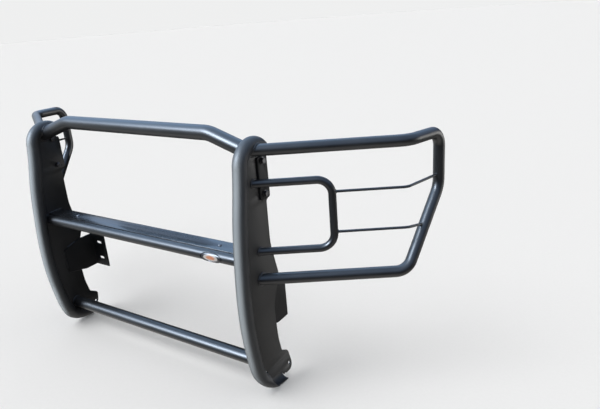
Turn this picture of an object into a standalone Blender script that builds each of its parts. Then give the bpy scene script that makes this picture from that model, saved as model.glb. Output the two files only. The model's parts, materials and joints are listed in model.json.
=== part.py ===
"""Front grille guard for a pickup truck.

Two plate uprights, each edged with a wrap tube, carry a trapezoid top tube, a
middle tube with a flat step behind it, and a bottom tube. A swept-back wing
outside each upright frames the headlamp. Everything is fixed: the guard is one
welded and bolted frame. Metres, +Z up, the front faces -Y, +X to the viewer's
right.

Working coordinates put the middle tube's axis at Y = 0 and the bottom tube's
axis at Z = 0. One empty, which everything is parented to, moves the guard so
that its origin is at the bottom centre of its box.
"""

import math

import bmesh
import bpy
from mathutils import Matrix, Vector

NAME = "grille_guard"
ORIGIN_SHIFT = (0.0, -0.19975, 0.09564)
GAP = 0.0003  # left wherever two pieces meet

# Uprights: the wrap tube's distance from the centre, and the plate's, which is
# welded behind the tube a little outboard of its axis
UPRIGHT_X = 0.4875
PLATE_X = 0.4955
PLATE_T = 0.0050
INNER_FACE_X = PLATE_X - PLATE_T / 2 - GAP
OUTER_FACE_X = PLATE_X + PLATE_T / 2 + GAP

# Wrap tube: a bend over the top, a nearly straight front, a swept-back foot
WRAP_R = 0.02225
WRAP_WALL = 0.0030
BEND_CENTRE = (0.0650, 0.6760)
BEND_R = 0.0630
BEND_START = math.radians(35)
WRAP_BEND_STEPS = 9
WRAP_FRONT = [
    (0.0020, 0.6760),
    (-0.0066, 0.6200),
    (-0.0250, 0.5200),
    (-0.0390, 0.4000),
    (-0.0470, 0.2800),
    (-0.0457, 0.1800),
    (-0.0340, 0.0800),
    (-0.0215, 0.0140),
    (-0.0060, -0.0230),
    (0.0160, -0.0470),
    (0.0450, -0.0640),
    (0.0750, -0.0710),
    (0.1060, -0.0735),
]
# The foot is opened on its outer side behind this line
FOOT_CUT = [
    (0.0130, -0.0060),
    (0.0160, -0.0470),
    (0.0340, -0.0740),
    (0.0620, -0.0940),
    (0.0800, -0.1300),
]

# Plate outline behind the wrap tube: corners (Y, Z) and their radii, from the
# top down the rear edge, round the bolt ear, to the foot
PLATE_REAR = [
    (0.1010, 0.6958, 0.000),
    (0.1195, 0.6880, 0.006),
    (0.1195, 0.5660, 0.008),
    (0.1010, 0.5560, 0.010),
    (0.0990, 0.4120, 0.200),
    (0.1290, 0.2920, 0.016),
    (0.0860, 0.1950, 0.100),
    (0.0930, 0.0700, 0.200),
    (0.1050, 0.0150, 0.012),
    (0.1400, -0.0060, 0.020),
    (0.1420, -0.0680, 0.024),
    (0.1000, -0.0690, 0.004),
    (0.0940, -0.0650, 0.000),
    (0.0860, -0.0660, 0.000),
    (0.0760, -0.0520, 0.000),
    (0.0180, -0.0430, 0.000),
    (0.0142, -0.0130, 0.000),
]
EAR_HOLE = (0.1275, -0.0470, 0.0055)

# Below this height both uprights lean outboard
FLARE_Z, FLARE_SLOPE, FLARE_EASE = -0.0100, 0.25, 0.0120

# Cross tubes
TOP_R, TOP_WALL, TOP_Y = 0.0238, 0.0030, 0.0620
TOP_Z, TOP_END_Z, TOP_BEND_X, TOP_BEND_R = 0.7640, 0.7110, 0.3350, 0.1150
MIDDLE_R, MIDDLE_WALL, MIDDLE_Z = 0.01905, 0.0025, 0.3860
BOTTOM_R, BOTTOM_WALL, BOTTOM_Y = 0.0222, 0.0030, 0.0380

# Step plate, folded down along its rear edge, and its two screws
STEP_T, STEP_Y0, STEP_Y1, STEP_FOLD = 0.0030, 0.0005, 0.0640, 0.0200
SCREW_X, SCREW_Y = 0.3500, 0.0300
SCREW_R, SCREW_HOLE_R, SCREW_HEAD_R, SCREW_HEAD_H, SCREW_L = (
    0.0030,
    0.0034,
    0.0058,
    0.0032,
    0.0120,
)

# Blank oval badge pressed round the front of the middle tube
BADGE_X = 0.3490
BADGE_HALF = (0.0390, 0.0150)
BEZEL_HALF = (0.0430, 0.0178)
BADGE_T, BEZEL_T = 0.0018, 0.0028

# Wing: the outer loop's corners and bend radii, the inner loop, and two rods
WING_R, WING_WALL = 0.0180, 0.0025
WING_CORNERS = [
    (UPRIGHT_X, 0.0540, 0.7220),
    (0.8820, 0.2905, 0.7220),
    (0.9160, 0.4510, 0.7145),
    (0.9160, 0.4510, 0.5390),
    (0.8820, 0.2700, 0.3155),
    (UPRIGHT_X, 0.0326, 0.3155),
]
WING_BENDS = [0.0750, 0.0480, 0.0800, 0.0560]
SWEEP = math.tan(math.radians(31))
INNER_R, INNER_WALL, INNER_BEND = 0.0120, 0.0020, 0.0460
INNER_Y, INNER_X, INNER_TOP, INNER_BOTTOM = 0.0390, 0.6930, 0.6250, 0.4070
ROD_R, ROD_BEND, ROD_CORNER_X = 0.0042, 0.0300, 0.8830
ROD_ENDS = {"upper": (0.5860, (0.9160, 0.4510, 0.5780)), "lower": (0.4580, (0.9007, 0.3696, 0.4385))}

# Wing tab on the upright's outer face, with its two bolts
TAB_T, TAB_Y, TAB_Z, TAB_CORNER = 0.0060, (0.0660, 0.1130), (0.5650, 0.6980), 0.0080
BOLT_Y = 0.0880
BOLT_Z = {"lower": 0.5830, "upper": 0.6850}
BOLT_R, BOLT_HOLE_R, BOLT_AF, BOLT_HEAD, BOLT_L = 0.0050, 0.0055, 0.0170, 0.0064, 0.0235
WASHER_R, WASHER_HOLE_R, WASHER_T = 0.0105, 0.0054, 0.0020
NUT_AF, NUT_H = 0.0170, 0.0084

# Frame bracket: an angle on the upright's inner face, its rear flange inward
BRACKET_T, BRACKET_FLANGE = 0.0060, 0.0800
BRACKET_Y, BRACKET_Z = (0.0300, 0.1700), (0.1200, 0.2600)
BRACKET_NOSE = 0.0260
SLOT_FROM_EDGE, SLOT_HALF, SLOT_R, SLOT_Z = 0.0360, 0.0090, 0.0065, (0.1550, 0.2250)

SIDES = {"left": -1.0, "right": 1.0}
YZ_PLANE = (math.pi / 2, 0.0, math.pi / 2)  # turns a flat outline into the Y-Z plane
XZ_PLANE = (math.pi / 2, 0.0, 0.0)

BLACK = (0.020, 0.021, 0.023)
STEEL = (0.055, 0.056, 0.058)

for old in list(bpy.data.objects):
    bpy.data.objects.remove(old, do_unlink=True)

scene = bpy.context.scene
parts = bpy.data.collections.new(NAME)
scene.collection.children.link(parts)
cutters = bpy.data.collections.new(NAME + "_cutters")
scene.collection.children.link(cutters)

base = bpy.data.objects.new(NAME + "_origin", None)
base.location = ORIGIN_SHIFT
base.empty_display_size = 0.1
parts.objects.link(base)


def material(name, colour, roughness, metallic):
    made = bpy.data.materials.new(name)
    made.use_nodes = True
    shader = made.node_tree.nodes["Principled BSDF"]
    shader.inputs["Base Color"].default_value = (*colour, 1.0)
    shader.inputs["Roughness"].default_value = roughness
    shader.inputs["Metallic"].default_value = metallic
    made.diffuse_color = (*colour, 1.0)
    return made


def add_part(obj, colour=BLACK, roughness=0.4, metallic=0.0):
    parts.objects.link(obj)
    obj.parent = base
    obj.data.materials.clear()
    obj.data.materials.append(
        material(obj.name + "_finish", colour, roughness, metallic)
    )
    if obj.type == "MESH":
        obj.data.shade_smooth()
        obj.data.set_sharp_from_angle(angle=math.radians(35))
    return obj


def add_cutter(obj):
    cutters.objects.link(obj)
    obj.parent = base
    obj.hide_render = True
    obj.display_type = "WIRE"
    return obj


def boolean(obj, other, operation="DIFFERENCE"):
    modifier = obj.modifiers.new(operation.lower() + "_" + other.name, "BOOLEAN")
    modifier.operation = operation
    modifier.solver = "EXACT"
    modifier.object = other


def to_mesh(curve_object):
    """The curve object as a welded mesh object of the same name, not yet linked."""
    scene.collection.objects.link(curve_object)
    bpy.context.view_layer.update()
    graph = bpy.context.evaluated_depsgraph_get()
    mesh = bpy.data.meshes.new_from_object(curve_object.evaluated_get(graph))
    name, world = curve_object.name, curve_object.matrix_world.copy()
    bpy.data.objects.remove(curve_object, do_unlink=True)
    bm = bmesh.new()
    bm.from_mesh(mesh)
    bmesh.ops.remove_doubles(bm, verts=bm.verts, dist=1e-5)
    bmesh.ops.recalc_face_normals(bm, faces=bm.faces)
    bm.to_mesh(mesh)
    bm.free()
    made = bpy.data.objects.new(name, mesh)
    made.matrix_world = world
    mesh.name = name
    return made


def bend(points, radii, step=15.0):
    """The path through the points, each inner corner rounded to its radius."""
    points = [Vector(p) for p in points]
    path = [points[0]]
    for before, corner, after, radius in zip(points, points[1:], points[2:], radii):
        if not radius:
            path.append(corner)
            continue
        a = (before - corner).normalized()
        b = (after - corner).normalized()
        turn = math.pi - a.angle(b)
        reach = radius * math.tan(turn / 2)
        centre = corner + (a + b).normalized() * radius / math.cos(turn / 2)
        start, end = corner + a * reach - centre, corner + b * reach - centre
        count = max(1, round(math.degrees(turn) / step))
        for i in range(count + 1):
            t = i / count
            blend = math.sin((1 - t) * turn) * start + math.sin(t * turn) * end
            path.append(centre + blend / math.sin(turn))
    return [*path, points[-1]]


def rail(name, path, radius, wall=0.0, sides=16):
    """A tube along a path: a bevelled curve, capped when solid, with Solidify making the wall when hollow."""
    curve = bpy.data.curves.new(name, "CURVE")
    curve.dimensions = "3D"
    curve.bevel_depth = radius
    curve.bevel_resolution = (sides - 4) // 2
    curve.use_fill_caps = not wall
    spline = curve.splines.new("POLY")
    spline.points.add(len(path) - 1)
    for point, place in zip(spline.points, path):
        point.co = (*place, 1.0)
    obj = bpy.data.objects.new(name, curve)
    if wall:
        solid = obj.modifiers.new("wall", "SOLIDIFY")
        solid.thickness = wall
        solid.offset = -1.0
    return obj


def flat(name, outlines, thickness, location=(0, 0, 0), rotation=(0, 0, 0)):
    """A flat plate: a filled 2D curve extruded to its thickness. Outlines after the first are holes."""
    curve = bpy.data.curves.new(name, "CURVE")
    curve.dimensions = "2D"
    curve.fill_mode = "BOTH"
    curve.extrude = thickness / 2
    for outline in outlines:
        spline = curve.splines.new("POLY")
        spline.points.add(len(outline) - 1)
        spline.use_cyclic_u = True
        for point, place in zip(spline.points, outline):
            point.co = (place[0], place[1], 0.0, 1.0)
    obj = bpy.data.objects.new(name, curve)
    obj.location = location
    obj.rotation_euler = rotation
    return obj


def ring(x, y, radius, count=16, squash=1.0, phase=0.0):
    turn = 2 * math.pi / count
    return [
        (
            x + radius * math.cos(turn * (k + phase)),
            y + radius * squash * math.sin(turn * (k + phase)),
        )
        for k in range(count)
    ]


def rounded_outline(corners):
    """A closed outline from corners (a, b, radius)."""
    looped = [corners[-1], *corners, corners[0]]
    path = bend([c[:2] + (0.0,) for c in looped], [c[2] for c in corners], 20)
    return [(p.x, p.y) for p in path[1:-1]]


def cylinder(name, radius, length, location, rotation=(0, 0, 0), count=16):
    bpy.ops.mesh.primitive_cylinder_add(
        vertices=count, radius=radius, depth=length, location=location, rotation=rotation
    )
    obj = bpy.context.active_object
    obj.name = obj.data.name = name
    for owner in list(obj.users_collection):
        owner.objects.unlink(obj)
    return obj


def block(name, low, high):
    bpy.ops.mesh.primitive_cube_add(size=1.0)
    obj = bpy.context.active_object
    obj.name = obj.data.name = name
    for owner in list(obj.users_collection):
        owner.objects.unlink(obj)
    size = [b - a for a, b in zip(low, high)]
    obj.data.transform(Matrix.Diagonal((*size, 1.0)))
    obj.location = [(a + b) / 2 for a, b in zip(low, high)]
    return obj


def span(sign, a, b):
    return tuple(sorted((sign * a, sign * b)))


def sided(sign, path):
    return [(sign * p[0], p[1], p[2]) for p in path]


# The wrap tube's centre line in (Y, Z), from its rear top end to its foot
line = []
for i in range(WRAP_BEND_STEPS):
    angle = BEND_START + (math.pi - BEND_START) * i / WRAP_BEND_STEPS
    reach = Vector((math.cos(angle), math.sin(angle))) * BEND_R
    line.append(Vector(BEND_CENTRE) + reach)
line += [Vector(p) for p in WRAP_FRONT]


def beside(path, distance):
    """The path moved sideways, square to the mean direction at each point."""
    steps = [(b - a).normalized() for a, b in zip(path, path[1:])]
    moved = []
    for i, p in enumerate(path):
        along = (steps[max(i - 1, 0)] + steps[min(i, len(steps) - 1)]).normalized()
        moved.append((p.x - along.y * distance, p.y + along.x * distance))
    return moved


def lean(z):
    """How far a point at this height is moved outboard."""
    below = FLARE_Z - z
    if below <= -FLARE_EASE:
        return 0.0
    if below >= FLARE_EASE:
        return FLARE_SLOPE * below
    return FLARE_SLOPE * (below + FLARE_EASE) ** 2 / (4 * FLARE_EASE)


def flare(obj, sign, beyond=0.0):
    """Leans the foot of an upright outboard, adding edges where the bend needs them."""
    mesh = obj.data
    mesh.transform(obj.matrix_world)
    obj.matrix_world = Matrix.Identity(4)
    bm = bmesh.new()
    bm.from_mesh(mesh)
    if not beyond:
        for part in (1.0, 0.0, -1.0):
            bmesh.ops.bisect_plane(
                bm,
                geom=[*bm.verts, *bm.edges, *bm.faces],
                dist=1e-6,
                plane_co=(0, 0, FLARE_Z + part * FLARE_EASE),
                plane_no=(0, 0, 1),
            )
    for v in bm.verts:
        if sign * v.co.x > beyond:
            v.co.x += sign * lean(v.co.z)
    bmesh.ops.triangulate(bm, faces=[f for f in bm.faces if len(f.verts) > 4])
    bm.to_mesh(mesh)
    bm.free()
    return obj


# The plate's front edge follows the tube down to where the foot is open
plate_front = []
for p in beside(line, WRAP_R + GAP / 3):
    if p[0] > FOOT_CUT[0][0] - GAP and p[1] < 0.1:
        break
    plate_front.append(p)
rear = rounded_outline(PLATE_REAR)

wide = 0.3  # reach of the cutting blocks
top_copes = {}
for side, sign in SIDES.items():
    outline = [*plate_front, *reversed(rear)]
    holes = [ring(*EAR_HOLE)] + [
        ring(BOLT_Y, z, BOLT_HOLE_R) for z in BOLT_Z.values()
    ]
    plate = to_mesh(
        flat(
            "upright_plate_" + side,
            [outline, *holes],
            PLATE_T,
            (sign * PLATE_X, 0, 0),
            YZ_PLANE,
        )
    )
    add_part(flare(plate, sign), roughness=0.45)

    wrap = add_part(
        flare(
            to_mesh(
                rail(
                    "wrap_tube_" + side,
                    [(sign * UPRIGHT_X, p.x, p.y) for p in line],
                    WRAP_R,
                    WRAP_WALL,
                    20,
                )
            ),
            sign,
        )
    )
    outside = UPRIGHT_X + 0.08
    opening = to_mesh(
        flat(
            "foot_opening_" + side,
            [[(0.0130, 0.0100), *FOOT_CUT, (0.2000, -0.1300), (0.2000, 0.0100)]],
            outside - INNER_FACE_X,
            (sign * (INNER_FACE_X + outside) / 2, 0, 0),
            YZ_PLANE,
        )
    )
    boolean(wrap, add_cutter(flare(opening, sign)))

    cope = rail(
        "top_cope_" + side,
        [(sign * UPRIGHT_X, p.x, p.y) for p in line if p.y > 0.58],
        WRAP_R + 2 * GAP,
        0,
        20,
    )
    top_copes[side] = add_cutter(to_mesh(cope))

# Cross tubes, cut to the uprights' inner faces
inner_limits = {
    side: add_cutter(
        block(
            "inner_limit_" + side,
            (span(sign, INNER_FACE_X, INNER_FACE_X + wide)[0], -0.3, -0.3),
            (span(sign, INNER_FACE_X, INNER_FACE_X + wide)[1], 0.6, 1.0),
        )
    )
    for side, sign in SIDES.items()
}
overrun = 0.02
drop = (TOP_Z - TOP_END_Z) / (INNER_FACE_X - TOP_BEND_X)
top_path = bend(
    [
        (-INNER_FACE_X - overrun, TOP_Y, TOP_END_Z - drop * overrun),
        (-TOP_BEND_X, TOP_Y, TOP_Z),
        (TOP_BEND_X, TOP_Y, TOP_Z),
        (INNER_FACE_X + overrun, TOP_Y, TOP_END_Z - drop * overrun),
    ],
    [TOP_BEND_R, TOP_BEND_R],
    7,
)
top = add_part(to_mesh(rail("top_crossbar", top_path, TOP_R, TOP_WALL, 20)))
middle = add_part(
    to_mesh(
        rail(
            "step_crossbar",
            [(-INNER_FACE_X, 0, MIDDLE_Z), (INNER_FACE_X, 0, MIDDLE_Z)],
            MIDDLE_R,
            MIDDLE_WALL,
            20,
        )
    )
)
for side, sign in SIDES.items():
    boolean(top, inner_limits[side])
    boolean(top, top_copes[side])
    near = [p for p in line if abs(p.y - MIDDLE_Z) < 0.17 and p.x < 0]
    cope = rail(
        "middle_cope_" + side,
        [(sign * UPRIGHT_X, p.x, p.y) for p in near],
        WRAP_R + 2 * GAP,
        0,
        20,
    )
    boolean(middle, add_cutter(to_mesh(cope)))
bottom = to_mesh(
    rail(
        "bottom_crossbar",
        [(-INNER_FACE_X, BOTTOM_Y, 0), (INNER_FACE_X, BOTTOM_Y, 0)],
        BOTTOM_R,
        BOTTOM_WALL,
        20,
    )
)
for sign in SIDES.values():
    flare(bottom, sign, 0.4)
add_part(bottom)

# Step plate and screws
step_top = MIDDLE_Z + MIDDLE_R + GAP + STEP_T
profile = rounded_outline(
    [
        (STEP_Y0, step_top - STEP_T, 0.0),
        (STEP_Y1 - STEP_T, step_top - STEP_T, 0.001),
        (STEP_Y1 - STEP_T, step_top - STEP_FOLD, 0.0),
        (STEP_Y1, step_top - STEP_FOLD, 0.0),
        (STEP_Y1, step_top, 0.0025),
        (STEP_Y0, step_top, 0.001),
    ]
)
step = add_part(
    to_mesh(
        flat("step_plate", [profile], 2 * (INNER_FACE_X - GAP), (0, 0, 0), YZ_PLANE)
    ),
    roughness=0.42,
)
for side, sign in SIDES.items():
    place = (sign * SCREW_X, SCREW_Y, step_top)
    boolean(
        step, add_cutter(cylinder("screw_hole_" + side, SCREW_HOLE_R, 0.03, place))
    )
    under = GAP  # the head's underside, from the plate's top
    turned = [
        (0.0, under - SCREW_L),
        (SCREW_R, under - SCREW_L),
        (SCREW_R, under),
        (SCREW_HEAD_R, under),
        (SCREW_HEAD_R, under + SCREW_HEAD_H * 0.4),
        (SCREW_HEAD_R * 0.7, under + SCREW_HEAD_H * 0.9),
        (0.0, under + SCREW_HEAD_H),
    ]
    mesh = bpy.data.meshes.new("step_screw_" + side)
    bm = bmesh.new()
    verts = [bm.verts.new((r, 0.0, z)) for r, z in reversed(turned)]
    for a, b in zip(verts, verts[1:]):
        bm.edges.new((a, b))
    bm.to_mesh(mesh)
    bm.free()
    screw = bpy.data.objects.new("step_screw_" + side, mesh)
    screw.location = place
    spin = screw.modifiers.new("turn", "SCREW")
    spin.steps = spin.render_steps = 12
    spin.use_merge_vertices = True
    spin.merge_threshold = 0.00001
    add_part(screw, STEEL, 0.35, 0.6)


# Badge: oval prisms kept only where they cross a thin sleeve round the tube
def on_tube(name, outlines, thickness, colour, roughness):
    prism = to_mesh(
        flat(name, outlines, 0.030, (BADGE_X, -0.021, MIDDLE_Z), XZ_PLANE)
    )
    sleeve = to_mesh(
        flat(
            name + "_sleeve",
            [
                ring(0, MIDDLE_Z, MIDDLE_R + GAP + thickness, 48),
                ring(0, MIDDLE_Z, MIDDLE_R + GAP, 48),
            ],
            0.12,
            (BADGE_X, 0, 0),
            YZ_PLANE,
        )
    )
    add_part(prism, colour, roughness)
    boolean(prism, add_cutter(sleeve), "INTERSECT")


on_tube(
    "badge_bezel",
    [
        ring(0, 0, BEZEL_HALF[0], 32, BEZEL_HALF[1] / BEZEL_HALF[0]),
        ring(0, 0, BADGE_HALF[0] + 2 * GAP, 32, (BADGE_HALF[1] + 2 * GAP) / (BADGE_HALF[0] + 2 * GAP)),
    ],
    BEZEL_T,
    (0.012, 0.014, 0.018),
    0.30,
)
on_tube(
    "badge_face",
    [ring(0, 0, BADGE_HALF[0], 32, BADGE_HALF[1] / BADGE_HALF[0])],
    BADGE_T,
    (0.62, 0.22, 0.09),
    0.35,
)

# Wings
for side, sign in SIDES.items():
    low, high = span(sign, OUTER_FACE_X - wide, OUTER_FACE_X)
    limit = add_cutter(
        block("outer_limit_" + side, (low, -0.3, 0.2), (high, 0.6, 0.8))
    )
    reach = (Vector(WING_CORNERS[0]) - Vector(WING_CORNERS[1])).normalized() * 0.02
    corners = [
        Vector(WING_CORNERS[0]) + reach,
        *map(Vector, WING_CORNERS[1:-1]),
        Vector(WING_CORNERS[-1]) + reach,
    ]
    outer = add_part(
        to_mesh(
            rail(
                "wing_outer_tube_" + side,
                sided(sign, bend(corners, WING_BENDS)),
                WING_R,
                WING_WALL,
            )
        )
    )
    boolean(outer, limit)
    boolean(outer, top_copes[side])

    def on_sweep(x, z):
        return (x, INNER_Y + (x - UPRIGHT_X) * SWEEP, z)

    start_x = UPRIGHT_X - 0.012
    inner = add_part(
        to_mesh(
            rail(
                "wing_inner_tube_" + side,
                sided(
                    sign,
                    bend(
                        [
                            on_sweep(start_x, INNER_TOP),
                            on_sweep(INNER_X, INNER_TOP),
                            on_sweep(INNER_X, INNER_BOTTOM),
                            on_sweep(start_x, INNER_BOTTOM),
                        ],
                        [INNER_BEND, INNER_BEND],
                    ),
                ),
                INNER_R,
                INNER_WALL,
            )
        )
    )
    boolean(inner, limit)

    for label, (height, end) in ROD_ENDS.items():
        path = bend(
            [on_sweep(INNER_X, height), on_sweep(ROD_CORNER_X, height), end],
            [ROD_BEND],
        )
        rod = add_part(
            to_mesh(rail("wing_rod_%s_%s" % (label, side), sided(sign, path), ROD_R, 0, 12))
        )
        corner = Vector(on_sweep(INNER_X, height))
        post = [corner - Vector((0, 0, 0.03)), corner + Vector((0, 0, 0.03))]
        cutter = rail(
            "rod_inner_cope_%s_%s" % (label, side), sided(sign, post), INNER_R + GAP, 0, 20
        )
        boolean(rod, add_cutter(to_mesh(cutter)))
        upright, slant = Vector(WING_CORNERS[2]), Vector(WING_CORNERS[3])
        if label == "lower":
            upright, slant = slant, Vector(WING_CORNERS[4])
        along = (slant - upright).normalized()
        touch = upright + along * (Vector(end) - upright).dot(along)
        post = [touch - along * 0.03, touch + along * 0.03]
        cutter = rail(
            "rod_outer_cope_%s_%s" % (label, side), sided(sign, post), WING_R + GAP, 0, 20
        )
        boolean(rod, add_cutter(to_mesh(cutter)))

    # Tab and its fasteners
    corners = [
        (y, z, TAB_CORNER)
        for y, z in (
            (TAB_Y[0], TAB_Z[0]),
            (TAB_Y[1], TAB_Z[0]),
            (TAB_Y[1], TAB_Z[1]),
            (TAB_Y[0], TAB_Z[1]),
        )
    ]
    holes = [ring(BOLT_Y, z, BOLT_HOLE_R) for z in BOLT_Z.values()]
    add_part(
        flat(
            "wing_tab_" + side,
            [rounded_outline(corners), *holes],
            TAB_T,
            (sign * (OUTER_FACE_X + TAB_T / 2), 0, 0),
            YZ_PLANE,
        ),
        roughness=0.5,
    )
    face = OUTER_FACE_X + TAB_T + GAP
    for label, z in BOLT_Z.items():
        add_part(
            flat(
                "washer_%s_%s" % (label, side),
                [ring(0, 0, WASHER_R, 20), ring(0, 0, WASHER_HOLE_R, 20)],
                WASHER_T,
                (sign * (face + WASHER_T / 2), BOLT_Y, z),
                YZ_PLANE,
            ),
            STEEL,
            0.35,
            0.6,
        )
        head_x = face + WASHER_T + GAP
        sideways = (0, sign * math.pi / 2, 0)
        bolt = cylinder(
            "bolt_%s_%s" % (label, side),
            BOLT_AF / math.sqrt(3),
            BOLT_HEAD,
            (sign * (head_x + BOLT_HEAD / 2), BOLT_Y, z),
            sideways,
            6,
        )
        shank = cylinder(
            "shank_%s_%s" % (label, side),
            BOLT_R,
            BOLT_L + BOLT_HEAD / 2,
            (sign * (head_x + BOLT_HEAD / 2 - (BOLT_L + BOLT_HEAD / 2) / 2), BOLT_Y, z),
            sideways,
            12,
        )
        add_part(bolt, STEEL, 0.35, 0.6)
        boolean(bolt, add_cutter(shank), "UNION")
        add_part(
            flat(
                "nut_%s_%s" % (label, side),
                [
                    ring(0, 0, NUT_AF / math.sqrt(3), 6),
                    ring(0, 0, BOLT_R + 0.0004, 16),
                ],
                NUT_H,
                (sign * (INNER_FACE_X - NUT_H / 2), BOLT_Y, z),
                YZ_PLANE,
            ),
            STEEL,
            0.35,
            0.6,
        )

    # Frame bracket
    x1 = INNER_FACE_X
    x0 = x1 - BRACKET_FLANGE
    y0, y1 = BRACKET_Y
    outline = rounded_outline(
        [
            (sign * x1, y0, 0.0),
            (sign * x1, y1, 0.008),
            (sign * x0, y1, 0.0),
            (sign * x0, y1 - BRACKET_T, 0.0),
            (sign * (x1 - BRACKET_T), y1 - BRACKET_T, 0.002),
            (sign * (x1 - BRACKET_T), y0, 0.0),
        ]
    )
    height = BRACKET_Z[1] - BRACKET_Z[0]
    bracket = add_part(
        to_mesh(
            flat(
                "frame_bracket_" + side,
                [outline],
                height,
                (0, 0, sum(BRACKET_Z) / 2),
            )
        ),
        roughness=0.5,
    )
    for number, z in enumerate(SLOT_Z):
        x = sign * (x0 + SLOT_FROM_EDGE)
        slot = [
            (SLOT_HALF + SLOT_R * math.cos(a), SLOT_R * math.sin(a))
            for a in (math.pi * (k / 8 - 0.5) for k in range(9))
        ]
        slot += [(-p[0], -p[1]) for p in slot]
        boolean(
            bracket,
            add_cutter(
                to_mesh(
                    flat(
                        "slot_%d_%s" % (number, side), [slot], 0.03, (x, y1, z), XZ_PLANE
                    )
                )
            ),
        )
    for label, z, down in (("top", BRACKET_Z[1], -1), ("bottom", BRACKET_Z[0], 1)):
        clipped = [
            (y0 - 0.01, z - down * 0.01),
            (y0 + 0.10, z - down * 0.01),
            (y0 + 0.08, z),
            (y0 - 0.01, z + down * BRACKET_NOSE),
        ]
        boolean(
            bracket,
            add_cutter(
                to_mesh(
                    flat(
                        "nose_%s_%s" % (label, side),
                        [clipped],
                        0.03,
                        (sign * x1, 0, 0),
                        YZ_PLANE,
                    )
                )
            ),
        )
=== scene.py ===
"""Looks of the front grille guard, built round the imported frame.

Every shown piece repeats its CAD node's dimensions at a higher resolution, with
rolled plate edges, chamfered fasteners and weld beads where the pieces meet.
The geometry is written in part.py's working coordinates, with the middle
tube's axis at Y = 0 and the bottom tube's axis at Z = 0, and is moved by
SHIFT into the row frame.
"""

import json
import math
import random

import bmesh
import bpy
from mathutils import Matrix, Vector
from mathutils.bvhtree import BVHTree
from mathutils.geometry import tessellate_polygon

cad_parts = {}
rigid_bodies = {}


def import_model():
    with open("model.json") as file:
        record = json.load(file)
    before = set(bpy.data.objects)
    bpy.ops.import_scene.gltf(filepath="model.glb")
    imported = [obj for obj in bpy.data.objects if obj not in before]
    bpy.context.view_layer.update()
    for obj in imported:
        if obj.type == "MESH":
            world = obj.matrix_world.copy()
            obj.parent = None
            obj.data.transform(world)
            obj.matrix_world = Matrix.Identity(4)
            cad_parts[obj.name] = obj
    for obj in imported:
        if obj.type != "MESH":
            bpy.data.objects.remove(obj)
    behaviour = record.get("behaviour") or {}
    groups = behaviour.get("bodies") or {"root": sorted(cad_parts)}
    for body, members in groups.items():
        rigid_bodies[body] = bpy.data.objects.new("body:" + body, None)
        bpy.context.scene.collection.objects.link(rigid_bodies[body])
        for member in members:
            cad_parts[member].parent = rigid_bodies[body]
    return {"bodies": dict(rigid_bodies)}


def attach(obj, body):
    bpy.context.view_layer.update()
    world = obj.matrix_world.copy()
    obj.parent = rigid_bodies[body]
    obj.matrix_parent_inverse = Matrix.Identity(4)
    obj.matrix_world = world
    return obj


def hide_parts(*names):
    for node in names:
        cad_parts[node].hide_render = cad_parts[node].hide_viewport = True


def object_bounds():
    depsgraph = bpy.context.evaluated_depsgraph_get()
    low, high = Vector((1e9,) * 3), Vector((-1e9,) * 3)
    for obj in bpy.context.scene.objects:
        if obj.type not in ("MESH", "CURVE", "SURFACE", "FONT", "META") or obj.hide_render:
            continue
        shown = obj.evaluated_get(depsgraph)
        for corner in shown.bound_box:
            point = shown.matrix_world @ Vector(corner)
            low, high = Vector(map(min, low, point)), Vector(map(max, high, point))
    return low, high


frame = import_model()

cad_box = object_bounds()
BODY = list(frame["bodies"])[0]
SHIFT = Matrix.Translation((0.0, -0.19975, 0.09564))
GAP = 0.0003
random.seed(7)

# ---------------------------------------------------------------- dimensions

UPRIGHT_X, PLATE_X, PLATE_T = 0.4875, 0.4955, 0.0050
INNER_FACE_X = PLATE_X - PLATE_T / 2 - GAP
OUTER_FACE_X = PLATE_X + PLATE_T / 2 + GAP

WRAP_R, WRAP_WALL = 0.02225, 0.0030
BEND_CENTRE, BEND_R, BEND_START = (0.0650, 0.6760), 0.0630, math.radians(35)
WRAP_FRONT = [
    (0.0020, 0.6760), (-0.0066, 0.6200), (-0.0250, 0.5200), (-0.0390, 0.4000),
    (-0.0470, 0.2800), (-0.0457, 0.1800), (-0.0340, 0.0800), (-0.0215, 0.0140),
    (-0.0060, -0.0230), (0.0160, -0.0470), (0.0450, -0.0640), (0.0750, -0.0710),
    (0.1060, -0.0735),
]
FOOT_CUT = [(0.0130, -0.0060), (0.0160, -0.0470), (0.0340, -0.0740), (0.0620, -0.0940), (0.0800, -0.1300)]
PLATE_REAR = [
    (0.1010, 0.6958, 0.000), (0.1195, 0.6880, 0.006), (0.1195, 0.5660, 0.008),
    (0.1010, 0.5560, 0.010), (0.0990, 0.4120, 0.200), (0.1290, 0.2920, 0.016),
    (0.0860, 0.1950, 0.100), (0.0930, 0.0700, 0.200), (0.1050, 0.0150, 0.012),
    (0.1400, -0.0060, 0.020), (0.1420, -0.0680, 0.024), (0.1000, -0.0690, 0.004),
    (0.0940, -0.0650, 0.000), (0.0860, -0.0660, 0.000), (0.0760, -0.0520, 0.000),
    (0.0180, -0.0430, 0.000), (0.0142, -0.0130, 0.000),
]
EAR_HOLE = (0.1275, -0.0470, 0.0055)
FLARE_Z, FLARE_SLOPE, FLARE_EASE = -0.0100, 0.25, 0.0120

TOP_R, TOP_WALL, TOP_Y = 0.0238, 0.0030, 0.0620
TOP_Z, TOP_END_Z, TOP_BEND_X, TOP_BEND_R = 0.7640, 0.7110, 0.3350, 0.1150
MIDDLE_R, MIDDLE_WALL, MIDDLE_Z = 0.01905, 0.0025, 0.3860
BOTTOM_R, BOTTOM_WALL, BOTTOM_Y = 0.0222, 0.0030, 0.0380

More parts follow.
